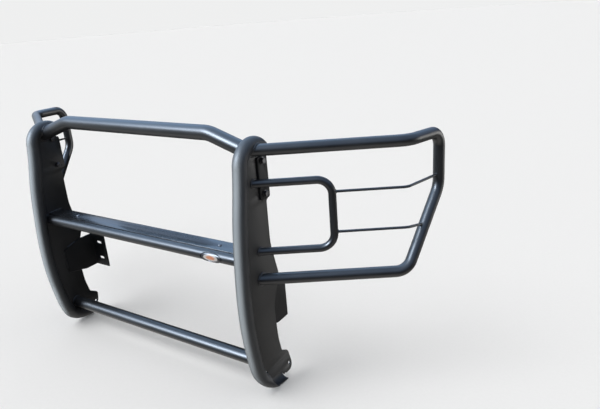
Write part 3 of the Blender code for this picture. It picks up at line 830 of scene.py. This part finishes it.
inner_share = ((BADGE_HALF[0] + 2 * GAP) / BEZEL_HALF[0], (BADGE_HALF[1] + 2 * GAP) / BEZEL_HALF[1])
section = [(0.0, 0.0), (0.0, 0.55), (0.10, 0.80), (0.28, 0.96), (0.50, 1.0), (0.72, 0.93), (0.90, 0.72), (1.0, 0.42), (1.0, 0.0), (0.5, 0.0)]
bm = bmesh.new()
rows = []
for across, up in section:
    row = []
    for t in turns:
        half = [h * (s + (1 - s) * across) for h, s in zip(BEZEL_HALF, inner_share)]
        row.append(on_tube(1.0, t, half, BEZEL_T * up))
    rows.append(row)
skin(bm, rows)
piece(to_object("guard_badge_bezel", bm, 60), RIM, "badge_rim", "badge_bezel")

# --------------------------------------------------------------------- wings

wing_welds = {}
for side, sign in SIDES.items():
    target = uprights[side][2]

    def sided(path):
        return [(sign * p[0], p[1], p[2]) for p in path]

    outer, seams = tube(
        "guard_wing_outer_tube_" + side,
        sided(bend([Vector(c) for c in WING_CORNERS], WING_BENDS)),
        WING_R, WING_WALL, 48, target, target, 0.08,
    )

    def on_sweep(x, z):
        return (x, INNER_Y + (x - UPRIGHT_X) * SWEEP, z)

    inner, inner_seams = tube(
        "guard_wing_inner_tube_" + side,
        sided(
            bend(
                [on_sweep(OUTER_FACE_X, INNER_TOP), on_sweep(INNER_X, INNER_TOP), on_sweep(INNER_X, INNER_BOTTOM), on_sweep(OUTER_FACE_X, INNER_BOTTOM)],
                [INNER_BEND, INNER_BEND],
            )
        ),
        INNER_R, INNER_WALL, 36, target, target, 0.06,
    )
    wing_target = bvh(outer, inner)
    rod_seams = []
    for label, (height, end) in ROD_ENDS.items():
        rod, made = tube(
            "guard_wing_rod_%s_%s" % (label, side),
            sided(bend([on_sweep(INNER_X, height), on_sweep(ROD_CORNER_X, height), end], [ROD_BEND])),
            ROD_R, 0.0, 20, wing_target, wing_target, 0.035,
        )
        rod_seams += made
        piece(rod, COAT, "powder_coat", "wing_rod_%s_%s" % (label, side))
    welds("guard_welds_wing_" + side, [round_bead(s, 0.0032) for s in seams] + [round_bead(s, 0.0028) for s in inner_seams])
    welds("guard_welds_rods_" + side, [lambda bm, s=s: bead(bm, seam_rows(s, 0.0017), True, 0.0017, 0.0022, 8) for s in rod_seams])
    piece(outer, COAT, "powder_coat", "wing_outer_tube_" + side)
    piece(inner, COAT, "powder_coat", "wing_inner_tube_" + side)

    # Tab, washers, bolts and nuts
    corners = [(TAB_Y[0], TAB_Z[0]), (TAB_Y[1], TAB_Z[0]), (TAB_Y[1], TAB_Z[1]), (TAB_Y[0], TAB_Z[1])]
    holes = [ring(BOLT_Y, z, BOLT_HOLE_R) for z in BOLT_Z.values()]
    low, high = sorted((sign * OUTER_FACE_X, sign * (OUTER_FACE_X + TAB_T)))
    tab = to_object("guard_wing_tab_" + side, plate("t", [rounded_outline([(y, z, TAB_CORNER) for y, z in corners]), *holes], low, high, on_yz, 0.0009))
    piece(tab, COAT_BRACKET, "bracket_coat", "wing_tab_" + side)
    face = OUTER_FACE_X + TAB_T + GAP
    for label, z in BOLT_Z.items():
        tilt = math.radians({"upper": 11, "lower": 23}[label])
        low, high = sorted((sign * face, sign * (face + WASHER_T)))
        washer = to_object("guard_washer_%s_%s" % (label, side), plate("w", [ring(BOLT_Y, z, WASHER_R, 56), ring(BOLT_Y, z, WASHER_HOLE_R, 56)], low, high, on_yz, 0.0004))
        piece(washer, ZINC, "fasteners", "washer_%s_%s" % (label, side))
        head = face + WASHER_T + GAP
        count = 72

        def loop(radius, along, flats=0.0, most=None):
            made = []
            for k in range(count):
                turn = 2 * math.pi * k / count
                reach = hexagon(turn, flats) if flats else radius
                if most is not None:
                    reach = min(reach, most)
                made.append(Vector((sign * (head + along), BOLT_Y + reach * math.cos(turn + tilt), z + reach * math.sin(turn + tilt))))
            return made

        wide = BOLT_AF / math.sqrt(3)
        loops = [loop(0.0012, -BOLT_L), loop(BOLT_R - 0.0009, -BOLT_L), loop(BOLT_R, -BOLT_L + 0.0009)]
        along = -BOLT_L + 0.0016
        while along < -0.0115:
            loops += [loop(BOLT_R, along), loop(BOLT_R - 0.0006, along + 0.00055)]
            along += 0.0012
        loops += [loop(BOLT_R, -0.010), loop(BOLT_R, 0.0), loop(BOLT_AF / 2 - 0.0002, 0.0), loop(BOLT_AF / 2 - 0.0002, 0.0004), loop(0, 0.0004, BOLT_AF)]
        for k in range(7):  # the chamfer cuts the corners down
            share = k / 6
            most = wide - (wide - BOLT_AF / 2 * 0.965) * share
            loops.append(loop(0, BOLT_HEAD - (1 - share) * (wide - BOLT_AF / 2 * 0.965) * 0.58, BOLT_AF, most))
        loops += [loop(BOLT_AF / 2 * 0.90, BOLT_HEAD - 0.0001), loop(BOLT_AF / 2 * 0.86, BOLT_HEAD - 0.00035), loop(0.0012, BOLT_HEAD - 0.00035)]
        piece(turned("guard_bolt_%s_%s" % (label, side), loops), ZINC, "fasteners", "bolt_%s_%s" % (label, side))

        bm = bmesh.new()
        base, top_of = INNER_FACE_X, INNER_FACE_X - NUT_H
        rows = []
        for radius, x, flats, most in (
            [(BOLT_R + 0.0004, base, 0, None), (BOLT_R + 0.0009, base, 0, None)]
            + [(0, base - (1 - s) * 0.0 - s * 0.0007, NUT_AF, NUT_AF / 2 * 0.97 + (wide - NUT_AF / 2 * 0.97) * s) for s in (0.0, 0.33, 0.66, 1.0)]
            + [(0, top_of + (1 - s) * 0.0007, NUT_AF, wide - (wide - NUT_AF / 2 * 0.97) * s) for s in (0.0, 0.33, 0.66, 1.0)]
            + [(BOLT_R + 0.0012, top_of, 0, None), (BOLT_R + 0.0004, top_of + 0.0008, 0, None)]
        ):
            row = []
            for k in range(count):
                turn = 2 * math.pi * k / count
                reach = hexagon(turn, flats) if flats else radius
                if most is not None:
                    reach = min(reach, most)
                row.append(Vector((sign * x, BOLT_Y + reach * math.cos(turn + tilt), z + reach * math.sin(turn + tilt))))
            rows.append(row)
        skin(bm, rows)
        piece(to_object("guard_nut_%s_%s" % (label, side), bm, 32), ZINC, "fasteners", "nut_%s_%s" % (label, side))

    # Frame bracket
    x1 = INNER_FACE_X
    x0 = x1 - BRACKET_FLANGE
    y0, y1 = BRACKET_Y
    outline = rounded_outline(
        [
            (sign * x1, y0, 0.0008), (sign * x1, y1, 0.008), (sign * x0, y1, 0.0008), (sign * x0, y1 - BRACKET_T, 0.0008),
            (sign * (x1 - BRACKET_T), y1 - BRACKET_T, 0.002), (sign * (x1 - BRACKET_T), y0, 0.0008),
        ]
    )
    bracket = to_object("guard_frame_bracket_" + side, plate("b", [outline], BRACKET_Z[0], BRACKET_Z[1], lambda a, b, c: Vector((a, b, c)), 0.0007))
    bracket_cutters = []
    for number, z in enumerate(SLOT_Z):
        x = sign * (x0 + SLOT_FROM_EDGE)
        slot = [(x + SLOT_HALF + SLOT_R * math.cos(a), z + SLOT_R * math.sin(a)) for a in (math.pi * (k / 16 - 0.5) for k in range(17))]
        slot += [(2 * x - p[0], 2 * z - p[1]) for p in slot]
        bracket_cutters.append(to_object("slot_%d_%s" % (number, side), plate("c", [slot], y1 - 0.02, y1 + 0.02, lambda a, b, c: Vector((a, c, b)), 0.00001)))
    for label, z, down in (("top", BRACKET_Z[1], -1), ("bottom", BRACKET_Z[0], 1)):
        clipped = [(y0 - 0.01, z - down * 0.01), (y0 + 0.10, z - down * 0.01), (y0 + 0.08, z), (y0 - 0.01, z + down * BRACKET_NOSE)]
        low, high = sorted((sign * (x1 - 0.02), sign * (x1 + 0.02)))
        bracket_cutters.append(to_object("nose_%s_%s" % (label, side), plate("n", [clipped], low, high, on_yz, 0.00001)))
    bracket = applied(bracket, *bracket_cutters)
    piece(bracket, COAT_BRACKET, "bracket_coat", "frame_bracket_" + side)

    # Beads: plate to wrap tube on both faces, and bracket to plate
    makers = []
    for face_x, out in ((PLATE_X + PLATE_T / 2, 1), (PLATE_X - PLATE_T / 2, -1)):
        off = abs(face_x - UPRIGHT_X)
        depth = math.sqrt(WRAP_R**2 - off**2)
        run = beside(LINE, (depth + WRAP_R) / 2 + 0.0004)
        rows = []
        for p, axis in zip(run, LINE):
            if p.x > FOOT_CUT[0][0] - 0.004 and p.y < 0.1:
                break
            away = (Vector((p.x, p.y)) - Vector((axis.x, axis.y))).normalized()
            crest = Vector((sign * out, away.x * 0.25, away.y * 0.25)).normalized()
            rows.append((Vector((sign * (face_x + out * 0.0002), p.x, p.y)), crest))
        rows = [(leaned([p], sign)[0], c) for p, c in rows]
        makers.append(line_bead(rows[2:], 0.0023))
    welds("guard_welds_upright_" + side, makers)
    makers = []
    for z_start, z_end in ((0.158, 0.192), (0.198, 0.232)):
        x = INNER_FACE_X - BRACKET_T
        makers.append(line_bead([(Vector((sign * (INNER_FACE_X - 0.0008), y0 - 0.0008, z)), Vector((-sign, -1, 0)).normalized()) for z in (z_start, z_end)], 0.0026))
    for z, way in ((BRACKET_Z[1], 1), (BRACKET_Z[0], -1)):
        slope = BRACKET_NOSE / 0.09
        rows = [(Vector((sign * (INNER_FACE_X - 0.0008), y, z + way * 0.0008 - way * max(0.0, 0.11 - y) * slope * 0.9)), Vector((-sign, 0, way)).normalized()) for y in (0.045, 0.060, 0.075, 0.084)]
        makers.append(line_bead(rows, 0.0026))
    welds("guard_welds_bracket_" + side, makers)

# ------------------------------------------------------- cross-tube weld beads

for number, side in enumerate(("left", "right")):
    sign = SIDES[side]
    makers = [round_bead(seams[number], r) for seams, r in ((top_seams, 0.0034), (middle_seams, 0.0030), (bottom_seams, 0.0033))]
    x = sign * (INNER_FACE_X - 0.0009)
    out = -sign
    makers.append(
        line_bead(
            [(Vector((x, y, STEP_TOP + 0.0008)), Vector((out, 0, 1)).normalized()) for y in (0.006, 0.020, 0.040, STEP_Y1 - 0.002)], 0.0026
        )
    )
    makers.append(
        line_bead(
            [(Vector((x, STEP_Y1 + 0.0007, z)), Vector((out, 1, 0)).normalized()) for z in (STEP_TOP - 0.002, STEP_TOP - 0.018)], 0.0024
        )
    )
    welds("guard_welds_cross_" + side, makers)

makers = []
for x in (-0.42, -0.21, 0.0, 0.21, 0.42):
    rows = []
    for k in range(5):
        place = Vector((x - 0.022 + 0.011 * k, 0.0085, STEP_TOP - STEP_T - 0.0020))
        rows.append((place, Vector((0, 0.8, -0.6)).normalized()))
    makers.append(line_bead(rows, 0.0026))
welds("guard_welds_step", makers)

for side, (plate_obj, wrap_obj, _) in uprights.items():
    piece(plate_obj, COAT_PLATE, "powder_coat", "upright_plate_" + side)
    piece(wrap_obj, COAT_WRAP, "powder_coat", "wrap_tube_" + side)
piece(top, COAT, "powder_coat", "top_crossbar")
piece(middle, COAT, "powder_coat", "step_crossbar")
piece(bottom, COAT, "powder_coat", "bottom_crossbar")
piece(step, COAT_STEP, "powder_coat", "step_plate")

# --------------------------------------------------------------------- stage

bm = bmesh.new()
bmesh.ops.create_circle(bm, cap_ends=True, segments=96, radius=40.0)
floor_mesh = bpy.data.meshes.new("studio_floor")
bm.to_mesh(floor_mesh)
bm.free()
floor = bpy.data.objects.new("studio_floor", floor_mesh)
floor.location.z = min(cad_box[0].z, 0.0) - 0.0002
bpy.context.scene.collection.objects.link(floor)
net = Net("studio_floor_paint")
floor_colour = net.ramp(net.noise(90.0, 2.0), [(0.3, (0.817, 0.817, 0.817)), (0.7, (0.829, 0.829, 0.829))])
floor.data.materials.append(net.finish(Base_Color=floor_colour, Roughness=0.95, Specular_IOR_Level=0.0))
floor.visible_glossy = False

# A black flag stands behind the opening and shows in reflections only
flag_mesh = bpy.data.meshes.new("studio_flag")
flag_outline = [(-1.30, -0.50), (0.46, -0.50), (0.46, 0.640), (-0.10, 0.640), (-0.34, 0.58), (-0.84, 0.60), (-0.90, 0.84), (-1.30, 0.84)]
flag_corners = [(x, 0.22, z) for x, z in flag_outline] + [(x, 0.10, z) for x, z in [(-0.455, 0.68), (0.08, 0.68), (0.08, 0.80), (-0.455, 0.80)]]
flag_mesh.from_pydata(flag_corners, [], [list(range(len(flag_outline))), list(range(len(flag_outline), len(flag_corners)))])
flag = bpy.data.objects.new("studio_flag", flag_mesh)
bpy.context.scene.collection.objects.link(flag)
net = Net("studio_flag_cloth")
flag_colour = net.ramp(net.noise(30.0, 2.0), [(0.3, (0.004, 0.004, 0.004)), (0.7, (0.010, 0.010, 0.010))])
flag.data.materials.append(net.finish(Base_Color=flag_colour, Roughness=0.95, Specular_IOR_Level=0.0))
flag.visible_camera = flag.visible_diffuse = flag.visible_shadow = False

# The world: a pale backdrop, even light on the floor, and for reflections a studio dome
world = bpy.data.worlds.new("studio_dome")
bpy.context.scene.world = world
world.use_nodes = True
nodes, links = world.node_tree.nodes, world.node_tree.links
nodes.clear()
way = nodes.new("ShaderNodeTexCoord").outputs["Generated"]
parts = nodes.new("ShaderNodeSeparateXYZ")
links.new(way, parts.inputs[0])


def world_range(value, a, b, c, d):
    made = nodes.new("ShaderNodeMapRange")
    made.interpolation_type = "SMOOTHSTEP"
    for socket, given in zip(list(made.inputs)[1:5], (a, b, c, d)):
        socket.default_value = given
    links.new(value, made.inputs[0])
    return made.outputs[0]


def world_math(operation, a, b):
    made = nodes.new("ShaderNodeMath")
    made.operation = operation
    for socket, given in zip(made.inputs, (a, b)):
        if isinstance(given, bpy.types.NodeSocket):
            links.new(given, socket)
        else:
            socket.default_value = given
    return made.outputs[0]


def world_light(colour, strength, mask=None):
    made = nodes.new("ShaderNodeBackground")
    made.inputs["Color"].default_value = (*colour, 1.0)
    made.inputs["Strength"].default_value = strength
    if mask is not None:
        links.new(world_math("MULTIPLY", mask, strength), made.inputs["Strength"])
    return made.outputs[0]


def world_add(*shaders):
    made = shaders[0]
    for shader in shaders[1:]:
        both = nodes.new("ShaderNodeAddShader")
        links.new(made, both.inputs[0])
        links.new(shader, both.inputs[1])
        made = both.outputs[0]
    return made


def world_choose(factor, a, b):
    made = nodes.new("ShaderNodeMixShader")
    links.new(factor, made.inputs[0])
    links.new(a, made.inputs[1])
    links.new(b, made.inputs[2])
    return made.outputs[0]


X, Y, Z = parts.outputs
rear_left = world_math("MULTIPLY", world_range(X, 0.25, -0.45, 0.25, 1.0), world_range(Z, 0.22, 0.62, 0.0, 1.0))
rear_right = world_math("MULTIPLY", world_range(X, 0.20, 0.50, 0.0, 1.0), world_range(Z, -0.34, -0.20, 0.0, 1.0))
rear_right = world_math("MULTIPLY", rear_right, world_math("MULTIPLY", world_range(Y, 0.2, 0.6, 0.0, 1.0), world_range(Z, 0.20, 0.00, 0.0, 1.0)))
left = world_math("MULTIPLY", world_range(X, -0.55, -0.88, 0.0, 1.0), world_range(Z, -0.75, -0.20, 0.25, 1.0))
left = world_math("MULTIPLY", left, world_range(Z, 0.55, 0.10, 0.0, 1.0))
dome = world_add(
    world_light((0.44, 0.68, 1.0), 2.9, rear_left),
    world_light((0.42, 0.60, 1.0), 0.75, world_range(Z, 0.05, 0.40, 0.0, 1.0)),
    world_light((1.0, 0.97, 0.93), 0.9, world_math("MULTIPLY", world_range(Z, -0.34, -0.72, 0.0, 1.0), world_range(Y, 0.45, -0.15, 0.45, 1.0))),
    world_light((0.88, 0.95, 1.0), 1.0, left),
    world_light((1.0, 0.99, 0.97), 3.4, rear_right),
    world_light((0.90, 0.93, 1.0), 0.04),
)
path = nodes.new("ShaderNodeLightPath")
even = world_choose(path.outputs["Is Camera Ray"], world_light((0.98, 0.99, 1.0), 0.72), world_light((0.995, 1.0, 1.0), 0.865))
output = nodes.new("ShaderNodeOutputWorld")
links.new(world_choose(path.outputs["Is Glossy Ray"], even, dome), output.inputs["Surface"])


def far_light(name, towards, angle, strength, colour, glossy):
    """A lamp far off: one kind shows only as a highlight, the other only lights and shades."""
    lamp = bpy.data.lights.new(name, "SUN")
    lamp.angle = math.radians(angle)
    lamp.energy = strength
    lamp.color = colour
    obj = bpy.data.objects.new(name, lamp)
    obj.rotation_mode = "QUATERNION"
    obj.rotation_quaternion = Vector(towards).to_track_quat("Z", "Y")
    obj.visible_camera = False
    obj.visible_glossy = glossy
    obj.visible_diffuse = not glossy
    bpy.context.scene.collection.objects.link(obj)
    return obj


far_light("softbox_highlight", (-0.43, -0.72, 0.54), 24.0, 9.8, (0.74, 0.85, 1.0), True)
side_light = far_light("softbox_side", (-0.36, -0.87, -0.10), 98.0, 16.5, (0.86, 0.95, 1.0), True)
side_light.light_linking.receiver_collection = bpy.data.collections.new("softbox_side_lights")
for side in ("left", "right"):
    side_light.light_linking.receiver_collection.objects.link(bpy.data.objects["guard_wrap_tube_" + side])
far_light("softbox_fill", (-0.35, -0.55, 0.95), 40.0, 1.35, (1.0, 0.99, 0.98), False)

# -------------------------------------------------------------------- camera

AZIMUTH, PITCH, ROLL = (math.radians(a) for a in (33.2115, 20.0457, -4.3901))
forward = Vector((-math.sin(AZIMUTH) * math.cos(PITCH), math.cos(AZIMUTH) * math.cos(PITCH), -math.sin(PITCH)))
level = Vector((math.cos(AZIMUTH), math.sin(AZIMUTH), 0.0))
upward = level.cross(forward)
right = math.cos(ROLL) * level + math.sin(ROLL) * upward
up = -math.sin(ROLL) * level + math.cos(ROLL) * upward
lens = bpy.data.cameras.new("camera")
lens.sensor_width = 36.0
lens.lens = 33.348
lens.clip_start, lens.clip_end = 0.05, 200.0
camera = bpy.data.objects.new("camera", lens)
bpy.context.scene.collection.objects.link(camera)
camera.matrix_world = Matrix(
    [[*row, place] for row, place in zip(zip(right, up, -forward), (1.4559, -1.37915, 1.21104))] + [[0, 0, 0, 1]]
)
bpy.context.scene.camera = camera
bpy.context.scene.view_settings.view_transform = "Standard"

bpy.context.view_layer.update()
